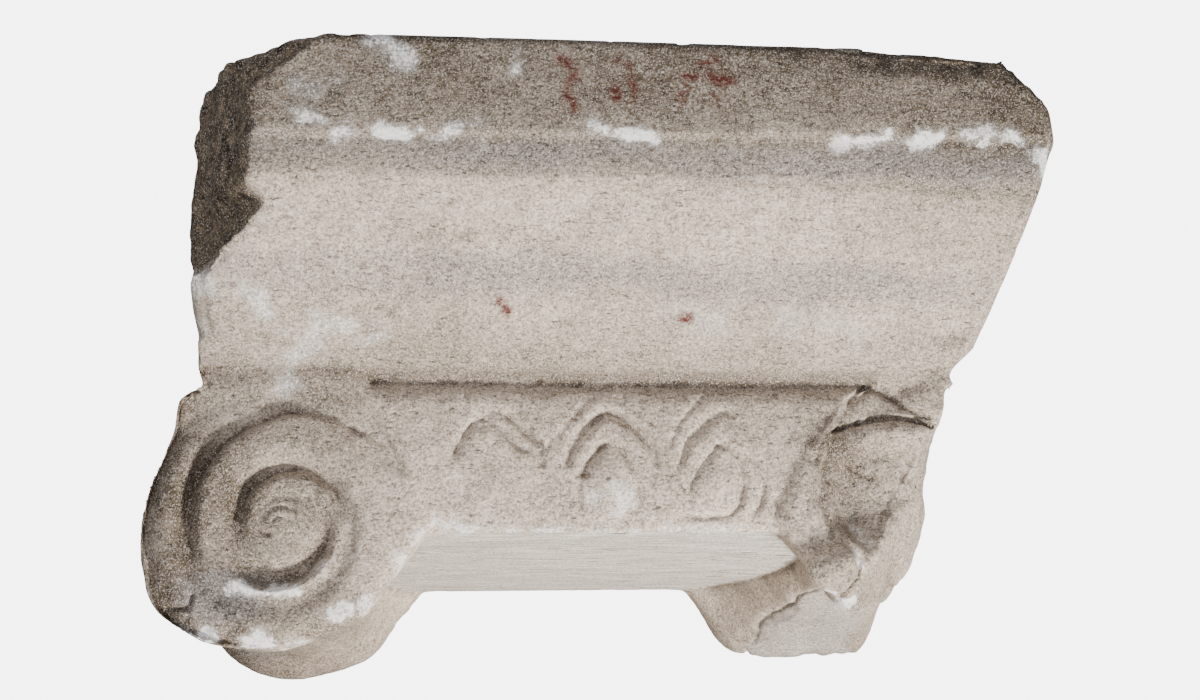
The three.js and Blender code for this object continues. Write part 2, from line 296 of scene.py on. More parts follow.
# The bright ridge that closes the inner turn below.
EYE_RIDGE = ([(-270, 56), (-249, 42), (-231, 37), (-209, 40), (-190, 53)], 13, 3.0)
# The broken right volute: cracks, scooped face and the knob left at its foot.
VOLUTE_CUTS = [
    ([(150, 138), (159, 147), (174, 152), (193, 157), (212, 156), (232, 151), (250, 150)], 6, 5.0),
    ([(176, 184), (195, 179), (207, 171), (218, 162), (236, 153)], 12, 5.0),
    ([(224, 136), (213, 116), (204, 102), (194, 84), (186, 65)], 6, 1.2),
    ([(138, 66), (131, 55), (132, 41), (143, 33), (160, 34), (172, 45), (174, 57), (164, 68)], 7, 3.6),
    ([(152, 140), (147, 126), (145, 110), (150, 94), (158, 80)], 14, 3.0),
    ([(160, 120), (169, 126), (182, 120), (197, 113)], 6, 2.2),
    ([(170, 76), (178, 68), (182, 60)], 6, 2.2),
    ([(116, 104), (119, 92), (126, 84)], 9, 2.4),
]
VOLUTE_SWELLINGS = [
    ((152, 50), (20, 18), 6.0),
    ((172, 112), (30, 40), -4.0),
    ((200, 142), (38, 13), 5.0),
]

# Where the volutes' shoulders meet the impost's lower corners: place, push and reach.
SHOULDERS = [
    ((-283, -212, 176), (-11, -2, 0), (22, 34, 15)),
    ((264, -214, 192), (-9, 0, 0), (20, 60, 13)),
    ((300, 190, 34), (-8, 0, 5), (34, 60, 34)),
    ((146, 200, 36), (-7, 0, 0), (26, 50, 26)),
]

# The spiral by degrees from its top, anticlockwise, in millimetres: an outer turn that dies
# away at the bottom, and an inner one that starts on the right.
SPIRAL_RADIUS = [(-60, 88), (-48, 84), (-31, 80), (-5, 77), (15, 72), (34, 68.5), (63, 64), (80, 61),
                 (105, 63), (134, 66), (150, 63), (200, 54), (240, 47), (285, 38), (304, 41), (332, 41),
                 (358, 38), (390, 34), (423, 29.5), (472, 36), (500, 40), (522, 39), (562, 35),
                 (591, 32), (615, 31), (660, 28)]
SPIRAL_DEPTH = [(-60, 0), (-48, 3), (-30, 6.5), (0, 10), (40, 10.5), (70, 8), (105, 4), (134, 2.5),
                (155, 0.4), (200, 0), (270, 0.5), (285, 4), (304, 5), (332, 7.5), (358, 8.5), (390, 8),
                (423, 5), (450, 3), (472, 4), (500, 6.5), (522, 8.5), (562, 9.5), (591, 8), (615, 5),
                (640, 1), (660, 0)]
# Width of the groove's outer side and of its inner side.
SPIRAL_OUTER = [(-60, 22), (0, 30), (60, 24), (150, 14), (300, 12), (370, 17), (430, 12), (500, 8), (660, 8)]
SPIRAL_INNER = [(-60, 7), (0, 5), (110, 6), (180, 9), (340, 6), (420, 6), (480, 14), (520, 18), (600, 18), (660, 12)]


def spiral(x, z):
    """Depth of the channel that winds to the eye, and the swell of the bands between."""
    dx, dz = x - EYE[0], z - EYE[1]
    radius = np.hypot(dx, dz)
    turn = np.degrees(np.arctan2(-dx, dz)) % 360
    depth = np.zeros(len(x))
    for lap in range(-1, 2):
        angle = turn + 360 * lap
        across = radius - stops(SPIRAL_RADIUS, angle) * MM
        width = np.where(across > 0, stops(SPIRAL_OUTER, angle), stops(SPIRAL_INNER, angle)) * MM
        u = np.clip(np.abs(across) / width, 0, 1)
        cut = stops(SPIRAL_DEPTH, angle) * MM * (1 - u) ** 1.5
        depth = np.where((angle > -60) & (angle < 660), np.maximum(depth, cut), depth)
    band = 2.4 * MM * np.exp(-(((radius - 57 * MM) / (13 * MM)) ** 2))
    disc = 3.0 * MM * np.exp(-((radius / (20 * MM)) ** 2))
    return depth - band - disc


# The impost's front by height: how far it stands forwards, in millimetres.
IMPOST_PROFILE = [(196, -226), (206, -236), (230, -261), (262, -294.5), (284, -317.5), (289, -323.5),
                  (291.5, -328.5), (300, -330), (316, -331.5), (318.5, -332.5), (321, -336), (348, -335.5), (386, -335)]


def recut_mouldings(stone):
    """Sets the impost's front to its profile, which leans a little; its arrises are ragged."""
    x, y, z = stone.points.T
    n = stone.normals
    ragged = 1.6 * noise(stone.points, 14 * MM, 9) + 1.0 * noise(stone.points, 6 * MM, 10)
    height = z / MM - 0.018 * x / MM + ragged
    profile = np.interp(height, *np.array(IMPOST_PROFILE, float).T) * MM
    front = smoothstep(0.35, 0.6, -n[:, 1]) * smoothstep(0.35, 0.15, np.abs(n[:, 0]))
    front = front * smoothstep(198 * MM, 208 * MM, z) * smoothstep(TOP_Z - 2 * MM, TOP_Z - 8 * MM, z)
    stone.points[:, 1] += front * np.clip(profile - y, -5 * MM, 5 * MM)
    stone.update()


def close_groove_ends(stone):
    """Beyond the echinus the volutes run up into the impost without a groove."""
    x, y, z = stone.points.T
    ends = np.maximum(smoothstep(-158 * MM, -176 * MM, x), smoothstep(172 * MM, 206 * MM, x))
    band = smoothstep(138 * MM, 158 * MM, z) * smoothstep(214 * MM, 200 * MM, z)
    front = (y < FACE_Y + 34 * MM) * (stone.normals[:, 1] < 0.2)
    slant = -221 * MM - np.clip(z - 190 * MM, 0, None) * 1.04
    fill = np.minimum(slant - y, 0) * ends * band * front
    stone.points[:, 1] += np.clip(fill, -20 * MM, 0)
    for centre, push, reach in SHOULDERS:
        away = np.linalg.norm((stone.points - np.array(centre) * MM) / (np.array(reach) * MM), axis=1)
        stone.points += np.exp(-away**2)[:, None] * np.array(push) * MM
    stone.update()
    near = smoothstep(205 * MM, 196 * MM, stone.points[:, 2]) * smoothstep(130 * MM, 150 * MM, stone.points[:, 2])
    stone.smooth(24, 0.6 * near * ends * (y < FACE_Y + 60 * MM))


def carve_front(stone):
    """Leaves, the left volute and the broken right one, cut into what looks forwards."""
    facing = smoothstep(0.3, 0.75, -stone.normals[:, 1])
    y, z = stone.points[:, 1], stone.points[:, 2]
    at = np.flatnonzero((facing > 0) & (y < FACE_Y + 30 * MM) & (z < GROOVE_Z + 8 * MM))
    x, z = stone.points[at, 0], stone.points[at, 2]
    wander = stone.points[at].copy()
    x = x + 1.2 * MM * noise(wander, 17 * MM, 5)
    z = z + 1.2 * MM * noise(wander, 17 * MM, 6)
    worn = 0.75 + 0.45 * noise(wander, 24 * MM, 7)
    leaves = np.zeros(len(at))
    for route, width, deep in LEAF_CUTS:
        leaves = np.maximum(leaves, stroke(x, z, route, width, deep))
    depth = leaves * worn
    for centre, radii, height in LEAF_SWELLINGS + VOLUTE_SWELLINGS:
        depth -= dome(x, z, centre, radii, height)
    for route, width, deep in VOLUTE_CUTS + EYE_CUTS:
        depth += stroke(x, z, route, width, deep)
    left = x < -130 * MM
    depth += np.where(left, spiral(x, z) * (0.9 + 0.25 * noise(wander, 20 * MM, 8)), 0)
    route, width, high = EYE_RIDGE
    depth -= stroke(x, z, route, width, high)
    # the web beside the echinus lies back from it
    end = np.interp(z, [120 * MM, 133 * MM, 154 * MM, 167 * MM, 178 * MM],
                    [-131 * MM, -142 * MM, -152 * MM, -162 * MM, -170 * MM])
    web = smoothstep(0, 5 * MM, end - x) * smoothstep(34 * MM, 14 * MM, end - x)
    depth += 5 * MM * web * smoothstep(112 * MM, 128 * MM, z) * smoothstep(186 * MM, 176 * MM, z)
    # and the broken volute lies back from its other end
    end = np.interp(z, [70 * MM, 98 * MM, 120 * MM, 142 * MM, 171 * MM, 184 * MM],
                    [152 * MM, 146 * MM, 148 * MM, 155 * MM, 172 * MM, 187 * MM])
    broken = smoothstep(-1 * MM, 6 * MM, x - end) * smoothstep(58 * MM, 22 * MM, x - end)
    depth += 7 * MM * broken * smoothstep(62 * MM, 84 * MM, z) * smoothstep(190 * MM, 178 * MM, z)
    # the outer rim is worn round, most of all on the far left
    reach = np.hypot(x - VOLUTE_X, z - VOLUTE_Z)
    depth += 10 * MM * smoothstep(68 * MM, 92 * MM, reach) * smoothstep(-215 * MM, -275 * MM, x)
    stone.points[at, 1] += depth * facing[at]
    stone.update()


# ---- Breaks and weathering ----

def along_break(points, plane):
    """Level and sloping coordinates along a fracture plane, in metres."""
    out = np.array(plane[1][:2])
    out = out / np.linalg.norm(out)
    return points[:, :2] @ np.array([-out[1], out[0]]), points[:, 2]


def roughen_breaks(stone):
    """Crystalline fracture surfaces; the split-off corner has leaning ridges."""
    p, n = stone.points, stone.normals

    def turned_to(plane, low=0.55, high=0.85):
        out = np.array(plane[1]) / np.linalg.norm(plane[1])
        return smoothstep(low, high, n @ out)

    x, y, z = p.T
    foot = 249 * MM + 0.45 * np.clip(x + 262 * MM, 0, None) + 4 * MM * noise(p, 19 * MM, 15)
    corner = smoothstep(0.22, 0.45, -n[:, 0]) * smoothstep(-4 * MM, 4 * MM, z - foot)
    corner = corner * smoothstep(-180 * MM, -200 * MM, y) * (x < -170 * MM) * (n[:, 2] < 0.8)
    for _ in range(4):
        corner = stone.neighbour_mean(corner)
    stain = corner
    for _ in range(8):
        corner = stone.neighbour_mean(corner)
    level, rise = along_break(p, CORNER_BREAK)
    leaning = np.column_stack([level - 0.4 * rise, rise, level * 0])
    ridges = noise(leaning, (11 * MM, 60 * MM, 1), 11) + 0.6 * noise(leaning, (5.5 * MM, 30 * MM, 1), 12)
    hackles = np.abs(noise(leaning, (19 * MM, 48 * MM, 1), 13))
    lumps = layered_noise(p, 34 * MM, 21)
    steps = np.abs(noise(p, 13 * MM, 31))
    middle = np.clip(1 - ((p[:, 1] + 262 * MM) / (70 * MM)) ** 2, 0, 1)
    stone.push(corner * (2.6 * ridges + 3.4 * lumps - 5.0 * hackles - 1.4 * steps - 3.0 * middle) * MM)
    p = stone.points
    right = (p[:, 2] < 158 * MM) * (p[:, 0] > 118 * MM)
    volute = np.maximum(
        stone.near_plane(VOLUTE_BREAK, 9 * MM) * turned_to(VOLUTE_BREAK, 0.3, 0.7),
        stone.near_plane(VOLUTE_FRONT_BREAK, 9 * MM) * turned_to(VOLUTE_FRONT_BREAK, 0.3, 0.7),
    ) * right
    scoop = right * smoothstep(0.4, 0.8, -n[:, 1]) * (p[:, 0] > 140 * MM)
    stone.push(volute * (1.6 * layered_noise(p, 30 * MM, 41) - 0.8 * steps) * MM)
    stone.push(scoop * (1.9 * layered_noise(p, 15 * MM, 43) - 1.2 * steps) * MM)
    chip = stone.near_plane(RIGHT_CORNER_CHIP, 8 * MM) * turned_to(RIGHT_CORNER_CHIP)
    chip = chip * (p[:, 2] > 320 * MM)
    stone.push(chip * (1.8 * layered_noise(p, 18 * MM, 51)) * MM)
    spall = split_off_underside(stone)
    return np.clip(stain, 0, 1), chip, spall


def split_off_underside(stone):
    """The fresh spall under the right bolster, with a ragged lip on its inner side."""
    p, n = stone.points, stone.normals
    lip = np.interp(p[:, 2], [0, 32 * MM, 44 * MM, 58 * MM, 63 * MM, 70 * MM],
                    [170 * MM, 173 * MM, 178 * MM, 196 * MM, 216 * MM, 240 * MM])
    ragged = 7 * MM * noise(p, 26 * MM, 91) + 3 * MM * noise(p, 8 * MM, 92)
    low = (p[:, 1] > -175 * MM) * (p[:, 2] < 74 * MM) * (p[:, 0] > 140 * MM)
    low = low * smoothstep(-0.1, -0.35, n[:, 2] + np.clip(n[:, 0], 0, 1))
    for _ in range(2):
        low = stone.neighbour_mean(low)
    inside = p[:, 0] - lip + ragged
    spall = smoothstep(0, 3 * MM, inside) * low
    edge = np.exp(-(((inside - 1 * MM) / (3.5 * MM)) ** 2)) * low
    ripples = np.abs(noise(p, (30 * MM, 70 * MM, 22 * MM), 93)) + 0.5 * noise(p, (9 * MM, 30 * MM, 9 * MM), 94)
    stone.push(-(spall * (4.5 + 3.0 * ripples) + 2.5 * edge) * MM)
    return spall


def wear(stone):
    """Rounds and nicks the arrises, then lets the whole skin weather unevenly."""
    ridge = np.clip(-stone.hollowness(10) / (1.2 * MM), 0, 1)
    nicks = smoothstep(0.1, 0.7, noise(stone.points, 13 * MM, 61) + 0.5 * noise(stone.points, 6 * MM, 63))
    gaps = smoothstep(0.1, 0.6, noise(stone.points, 55 * MM, 62))
    stone.push(-ridge * (0.3 + 2.2 * nicks * (0.3 + gaps)) * MM)
    p = stone.points
    crumbled = smoothstep(TOP_Z - 26 * MM, TOP_Z - 6 * MM, p[:, 2]) * smoothstep(60 * MM, 200 * MM, p[:, 0])
    crumbled = crumbled * smoothstep(-0.2, -0.5, stone.normals[:, 1]) * (p[:, 1] < -200 * MM)
    stone.push(-crumbled * (2.5 + 3.5 * np.abs(layered_noise(p, 22 * MM, 64))) * MM)
    p = stone.points
    bed = smoothstep(0.8, 0.95, -stone.normals[:, 2]) * (np.abs(p[:, 2] - BED_Z) < 6 * MM)
    top = (p[:, 2] > TOP_Z - 1 * MM) * (stone.normals[:, 2] > 0.9)
    rough = 1 - 0.9 * np.maximum(bed, top)
    low = smoothstep(184 * MM, 170 * MM, p[:, 2])
    skin = (0.9 + 0.6 * low) * noise(p, 52 * MM, 71) + 0.45 * noise(p, 19 * MM, 72)
    seen = np.maximum(smoothstep(0.1, -0.5, stone.normals[:, 1]), 0.7 * smoothstep(0.1, -0.4, stone.normals[:, 2]))
    skin = skin + seen * (0.28 + 0.2 * low) * noise(p, 8 * MM, 73)
    skin = skin + seen * (0.15 + 0.2 * low) * noise(p, 4 * MM, 76)
    pits = smoothstep(0.45, 0.8, noise(p, 6.5 * MM, 74)) * smoothstep(-0.1, 0.5, noise(p, 70 * MM, 75))
    stone.push(rough * (skin * 0.9 - 0.9 * pits * seen) * MM)
    return bed


# ---- Where dirt, painted shade, chalk, painted highlight and colour lie ----

def stroke_mask(x, z, marks):
    """How close each point is to any of the marks, 1 on a mark's middle line."""
    mask = np.zeros(len(x))
    for route, width in marks:
        distance, _, _ = route_distance(x, z, route)
        mask = np.maximum(mask, 1 - distance / (0.5 * width * MM))
    return mask


# White bruises on the front, and a painted highlight along the ridge below the left volute's eye: routes of (x, z) and
# widths in millimetres, and how white.
CHALK_AND_HIGHLIGHT_MARKS = [
    ([(-154, 318), (-144, 315), (-130, 320), (-120, 318)], 18, 1.0),
    ([(-112, 321), (-100, 326), (-92, 322)], 16, 0.8),
    ([(-210, 330), (-196, 326), (-182, 318), (-172, 320)], 18, 0.8),
    ([(-20, 325), (-6, 321), (8, 321), (22, 319)], 14, 1.0),
    ([(143, 317), (168, 322), (196, 319), (214, 324)], 16, 1.0),
    ([(206, 318), (216, 328)], 12, 0.9),
    ([(228, 324), (248, 327), (266, 324), (284, 312), (290, 302)], 17, 0.9),
    ([(-66, 380), (-68, 362)], 13, 0.9),
    ([(-160, 382), (-150, 376), (-142, 366)], 22, 0.8),
    ([(-206, 348), (-186, 352)], 22, 0.4),
    ([(-284, 240), (-272, 236)], 24, 0.6),
    ([(-242, 228), (-232, 222)], 20, 0.6),
    ([(-288, 214), (-276, 208)], 26, 0.5),
    ([(-218, 178), (-209, 200), (-196, 212)], 30, 0.5),
    ([(-196, 212), (-176, 216), (-160, 206)], 24, 0.5),
    ([(40, 225), (60, 218), (84, 222)], 22, 0.3),
    ([(120, 216), (150, 222), (176, 214)], 26, 0.3),
    # These two are a painted highlight along the bright ridge below the eye.
    ([(-252, 41), (-230, 37), (-208, 41)], 13, 0.9),
    ([(-206, 44), (-194, 54)], 12, 0.5),
    ([(-284, 14), (-262, 10)], 16, 0.9),
    ([(-244, 3), (-232, 8), (-220, 3)], 18, 1.0),
    ([(-214, 4), (-200, 6)], 10, 0.6),
    ([(-184, 23), (-176, 26)], 14, 0.8),
    ([(-162, 28), (-150, 50), (-132, 68), (-118, 84)], 14, 0.7),
    ([(-8, 98), (2, 106), (12, 98), (6, 90)], 26, 0.6),
    ([(-112, 84), (-96, 80)], 14, 0.8),
    ([(-90, 80), (-60, 79), (-20, 80), (20, 79)], 9, 0.6),
    ([(40, 82), (70, 80), (98, 82)], 8, 0.5),
    ([(148, 31), (160, 27), (170, 30)], 13, 1.0),
    ([(170, 60), (176, 50)], 8, 0.8),
    ([(176, 92), (178, 80), (184, 70)], 16, 0.4),
]
# Faded red daubs on the fascia.
PAINT_MARKS = [
    ([(-43, 371), (-33, 368), (-29, 358), (-35, 351)], 7),
    ([(-35, 346), (-31, 338)], 9),
    ([(-6, 367), (1, 372), (8, 366)], 6),
    ([(-5, 352), (-2, 343)], 8),
    ([(8, 358), (6, 346), (11, 339)], 6),
    ([(40, 360), (56, 362), (74, 359)], 7),
    ([(62, 374), (66, 364), (62, 348), (64, 341)], 6),
    ([(43, 352), (40, 340)], 6),
    ([(48, 368), (58, 371)], 5),
    ([(51, 220), (56, 219)], 9),
    ([(-76, 227), (-70, 222)], 7),
]
# How light the marble is up the front, from 0 to 1, by height in millimetres; the dip at 184 mm is painted shade in the
# groove under the impost.
LIGHTNESS = [(0, 0.6), (76, 0.92), (100, 0.92), (150, 0.82), (172, 0.75), (184, 0.5), (196, 0.55),
             (212, 0.66), (222, 0.7), (236, 0.7), (250, 0.76), (278, 0.78), (288, 0.66), (293, 0.42),
             (312, 0.4), (322, 0.3), (345, 0.23), (375, 0.2), (387, 0.14)]


def colour_masks(stone, corner, chip, spall, bed):
    """Every mask that the marble's material reads, from 0 to 1."""
    p, n = stone.points, stone.normals
    x, y, z = p.T
    drift = 5 * MM * noise(p, 90 * MM, 81)
    front = smoothstep(-0.1, -0.4, n[:, 1])
    # The hollows darken with soil and with painted shade.
    fine, deep = stone.hollowness(5), stone.hollowness(30)
    hollow = smoothstep(0.06 * MM, 0.5 * MM, fine) * 0.5 + smoothstep(0.4 * MM, 3.0 * MM, deep)
    ridge = smoothstep(0.1 * MM, 0.8 * MM, -fine)
    clouds = layered_noise(p, 60 * MM, 82)

    lightness = stops(LIGHTNESS, (z + drift) / MM) + 0.10 * clouds
    on_volute = smoothstep(-140 * MM, -185 * MM, x) + smoothstep(120 * MM, 160 * MM, x)
    on_volute = on_volute * smoothstep(192 * MM, 165 * MM, z) * (1 - bed)
    lightness -= 0.33 * on_volute * (0.8 + 0.4 * noise(p, 35 * MM, 83))
    # Painted shade: the far left rim of the left volute, which turns away from the light, is darkened.
    lightness -= 0.4 * smoothstep(-260 * MM, -292 * MM, x) * smoothstep(190 * MM, 160 * MM, z)
    disc = np.hypot(x - EYE[0], z - EYE[1])
    near_front = y < FACE_Y + 40 * MM
    lightness -= 0.3 * smoothstep(46 * MM, 30 * MM, disc) * near_front
    lightness -= 0.35 * smoothstep(80 * MM, 60 * MM, disc) * smoothstep(-220 * MM, -255 * MM, x) * near_front
    lightness -= 0.18 * smoothstep(130 * MM, 270 * MM, x) * smoothstep(200 * MM, 300 * MM, z)
    lightness -= 0.14 * smoothstep(-230 * MM, -280 * MM, x) * smoothstep(185 * MM, 200 * MM, z)
    lightness -= 0.16 * smoothstep(-150 * MM, -180 * MM, x) * smoothstep(22 * MM, 10 * MM, np.abs(z - 178 * MM))
    # Painted shade: the scooped hollow of the broken right volute is darkened.
    scoop = np.hypot((x - 163 * MM) / (24 * MM), (z - 112 * MM) / (44 * MM)) * (y < FACE_Y + 60 * MM)
    lightness -= 0.35 * smoothstep(1.3, 0.6, scoop) * (x > 130 * MM) * (y < FACE_Y + 60 * MM)

    wave = drift + 5 * MM * noise(p, (44 * MM, 60 * MM, 60 * MM), 95) + 3 * MM * noise(p, 15 * MM, 96)
    patchy = 0.75 + 0.5 * noise(p, (80 * MM, 60 * MM, 30 * MM), 97)
    vein = smoothstep(16 * MM, 5 * MM, np.abs(z + wave - 240 * MM)) * front
    vein = vein * smoothstep(330 * MM, 180 * MM, x) * np.clip(patchy, 0, 1.2)
    vein = np.maximum(vein, 0.8 * smoothstep(15 * MM, 4 * MM, np.abs(z + wave - 306 * MM)) * front * patchy)
    low_left = smoothstep(40 * MM, 20 * MM, np.hypot(x + 256 * MM, (z - 36 * MM) * 1.6)) * front
    vein = np.maximum(vein, low_left * (z < 52 * MM))

    # Painted shade: a dark band along the groove between the echinus and the impost.
    groove_shade = smoothstep(7 * MM, 2 * MM, np.abs(z - GROOVE_Z - 1 * MM)) * (y < FACE_Y + 45 * MM) * (np.abs(x) < 195 * MM)
    stained = 5 * MM + 20 * MM * smoothstep(60 * MM, 220 * MM, x + 40 * MM * noise(p, 60 * MM, 85))
    top_edge = smoothstep(-4 * MM, 4 * MM, z - TOP_Z + stained + 6 * MM * noise(p, 18 * MM, 84))
    # Dirt and painted shade: soil and shade in the hollows, shade in the groove, a stain along the top.
    dirt_and_shade = np.clip(0.75 * hollow + 0.6 * groove_shade + 0.85 * top_edge * front, 0, 1)
    dirt_and_shade = dirt_and_shade * (1 - 0.8 * bed)

    ragged = 0.7 * noise(p, 11 * MM, 87) + 0.5 * noise(p, 5 * MM, 88)
    chalk_and_highlight = np.zeros(len(x))
    for route, width, white in CHALK_AND_HIGHLIGHT_MARKS:
        mark = stroke_mask(x, z, [(route, width)])
        chalk_and_highlight = np.maximum(chalk_and_highlight, white * smoothstep(0.2, 0.9, mark + ragged * (mark > 0)))
    chalk_and_highlight = chalk_and_highlight * (y < -180 * MM)
    chalk_and_highlight = np.clip(chalk_and_highlight + 0.3 * ridge * smoothstep(0.2, 0.7, noise(p, 30 * MM, 86)), 0, 1)
    chalk_and_highlight = chalk_and_highlight * (1 - corner)
    paint = stroke_mask(x, z, PAINT_MARKS) + 0.25 * noise(p, 4 * MM, 89)
    paint = smoothstep(0.15, 0.5, paint) * front * (y < -200 * MM)
    return {
        "lightness": np.clip(lightness, 0, 1),
        "vein": np.clip(vein, 0, 1),
        "dirt_and_shade": dirt_and_shade,
        "chalk_and_highlight": chalk_and_highlight,
        "broken": np.clip(corner + 0.4 * chip, 0, 1),
        "fresh": np.clip(spall, 0, 1),
        "dressed": bed * 1.0,
        "paint": paint,
    }


def store(mesh, masks):
    for name, values in masks.items():
        attribute = mesh.attributes.new(name, "FLOAT", "POINT")
        attribute.data.foreach_set("value", values.astype(np.float32))


def thin(mesh, most_triangles):
    """Collapses the flattest parts of a mesh until it has the number of triangles given."""
    stone = bpy.data.objects.new("thinning", mesh)
    bpy.context.scene.collection.objects.link(stone)
    triangles = sum(len(face.vertices) - 2 for face in mesh.polygons)
    collapse = stone.modifiers.new("thin the flat parts", "DECIMATE")
    collapse.ratio = min(1.0, most_triangles / triangles)
    seen_stone = stone.evaluated_get(bpy.context.evaluated_depsgraph_get())
    thinned = bpy.data.meshes.new_from_object(seen_stone)
    bpy.data.objects.remove(stone)
    return thinned


def carved_stone():
    mesh = remeshed("capital", FINE_VOXEL)
    split_front(mesh)
    stone = Stone(mesh)
    x, y, z = stone.points.T
    bolster = smoothstep(180 * MM, 150 * MM, z) * smoothstep(100 * MM, 135 * MM, np.abs(x))
    behind = smoothstep(FACE_Y + 8 * MM, FACE_Y + 30 * MM, y)
    stone.smooth(6)
    off_bed = smoothstep(6 * MM, 24 * MM, np.abs(z - BED_Z))
    stone.smooth(24, 0.6 * bolster * behind * off_bed)
    stone.push(bolster * behind * 2.2 * noise(stone.points, 46 * MM, 3) * MM)
    recut_mouldings(stone)
    close_groove_ends(stone)
    carve_front(stone)
    corner, chip, spall = roughen_breaks(stone)
    bed = wear(stone)
    store(mesh, colour_masks(stone, corner, chip, spall, bed))
    thinned = thin(mesh, MOST_TRIANGLES)
    thinned.name = "carved_stone"
    thinned.shade_smooth()
    return thinned


# ---- Material ----

def linear(colour):
    """An sRGB hex colour as linear RGBA."""
    channels = [int(colour[i:i + 2], 16) / 255 for i in (1, 3, 5)]
    return [c / 12.92 if c <= 0.04045 else ((c + 0.055) / 1.055) ** 2.4 for c in channels] + [1]


def add(tree, kind, inputs=(), **settings):
    """Adds a node, applies its settings, and fills or links its inputs by name or number."""
    node = tree.nodes.new(kind)
    for name, value in settings.items():
        setattr(node, name, value)
    for name, value in dict(inputs).items():
        if isinstance(value, bpy.types.NodeSocket):
            tree.links.new(value, node.inputs[name])
        else:
            node.inputs[name].default_value = value
    return node


FACTOR, A, B, MIXED = 0, 6, 7, 2  # a colour mix's sockets


def marble():
    """Grey-veined marble, weathered matt: crystalline grain, soil and painted shade in the hollows,
    bruises white as chalk with a painted highlight on the eye's ridge, breaks stained brown."""
    material = bpy.data.materials.new("weathered_marble")
    material.use_nodes = True
    tree = material.node_tree
    shader = tree.nodes["Principled BSDF"]
    place = add(tree, "ShaderNodeTexCoord").outputs["Object"]
    masks = {
        name: add(tree, "ShaderNodeAttribute", attribute_name=name).outputs["Fac"]
        for name in ("lightness", "vein", "dirt_and_shade", "chalk_and_highlight", "broken", "fresh", "dressed", "paint")
    }

    def lumps(size_mm, detail=2.0, roughness=0.6, stretch=(1, 1, 1)):
        centred = add(tree, "ShaderNodeMapping", {"Vector": place, "Scale": stretch})
        return add(tree, "ShaderNodeTexNoise", {
            "Vector": centred.outputs["Vector"], "Scale": 1000 / size_mm, "Detail": detail,
            "Roughness": roughness,
        }).outputs["Fac"]

    def ramp(value, low, high, to_low=0.0, to_high=1.0):
        return add(tree, "ShaderNodeMapRange", {
            "Value": value, "From Min": low, "From Max": high, "To Min": to_low, "To Max": to_high,
        }).outputs["Result"]

    def maths(operation, a, b):
        return add(tree, "ShaderNodeMath", {0: a, 1: b}, operation=operation, use_clamp=True).outputs[0]

    def blend(factor, a, b, mode="MIX"):
        return add(tree, "ShaderNodeMix", {FACTOR: factor, A: a, B: b},
                   data_type="RGBA", blend_type=mode, clamp_factor=True).outputs[MIXED]

    clouds = lumps(38, 4)
    mottle = lumps(7, 4, 0.7)
    grain = lumps(2.2, 3, 0.75)
    crystals = lumps(1.1, 2, 0.6)
    pits = add(tree, "ShaderNodeTexVoronoi", {"Vector": place, "Scale": 1000 / 4.5}).outputs["Distance"]
    sugar = add(tree, "ShaderNodeTexVoronoi", {"Vector": place, "Scale": 1000 / 1.7}).outputs["Color"]
    sugar = add(tree, "ShaderNodeSeparateColor", {"Color": sugar}).outputs["Red"]
    scratches = lumps(2.2, 2, 0.6, (0.3, 1, 1))

    shade = maths("ADD", masks["lightness"], ramp(clouds, 0.3, 0.7, -0.1, 0.1))
    shade = maths("ADD", shade, ramp(mottle, 0.3, 0.7, -0.16, 0.16))
    colour = blend(shade, linear("#6c5f4d"), linear("#f6e6d4"))
    colour = blend(maths("MULTIPLY", masks["vein"], 0.6), colour, linear("#a09c9c"))
    colour = blend(maths("MULTIPLY", masks["fresh"], 0.6), colour, linear("#cfccc8"))
    streaks = lumps(5, 3, 0.7, (0.12, 1, 1))
    dashes = lumps(7, 1, 0.5, (0.3, 1, 1))
    dressed = blend(ramp(streaks, 0.36, 0.62), linear("#bdb6ad"), linear("#fbf6ef"))
    dressed = blend(ramp(dashes, 0.7, 0.74), dressed, linear("#5d5145"))
    colour = blend(masks["dressed"], colour, dressed)
    # Soil, and painted shade in the hollows and the groove, darken the colour.
    soil_and_shade = maths("MULTIPLY", masks["dirt_and_shade"], ramp(grain, 0.3, 0.62, 0.5, 1.0))
    colour = blend(soil_and_shade, colour, linear("#54442f"))
    stain = blend(ramp(lumps(9, 4), 0.35, 0.65), linear("#42372a"), linear("#948269"))
    colour = blend(masks["broken"], colour, stain)
    colour = blend(ramp(grain, 0.36, 0.56, 0.6, 0.0), colour, linear("#5e5140"), "MULTIPLY")
    colour = blend(ramp(sugar, 0.0, 1.0, 0.42, 0.0), colour, linear("#6b5f50"), "MULTIPLY")
    colour = blend(ramp(scratches, 0.4, 0.3, 0.0, 0.7), colour, linear("#62564a"), "MULTIPLY")
    colour = blend(ramp(crystals, 0.54, 0.68, 0.0, 0.5), colour, linear("#f6f2ee"))
    colour = blend(ramp(pits, 0.13, 0.05, 0.0, 0.6), colour, linear("#453a30"))
    # White bruises, and the painted highlight on the eye's ridge.
    specks = maths("ADD", maths("MULTIPLY", masks["chalk_and_highlight"], 0.3), lumps(2.6, 4, 0.85))
    bruise_and_highlight = maths("MULTIPLY", ramp(specks, 0.66, 0.76), ramp(masks["chalk_and_highlight"], 0.02, 0.3))
    colour = blend(maths("MULTIPLY", bruise_and_highlight, 0.95), colour, linear("#fdfcfb"))
    colour = blend(maths("MULTIPLY", masks["chalk_and_highlight"], 0.3), colour, linear("#fdfcfb"))
    daub = maths("MULTIPLY", masks["paint"], ramp(lumps(4, 4, 0.8), 0.36, 0.48, 0.0, 0.95))
    colour = blend(daub, colour, linear("#561610"))

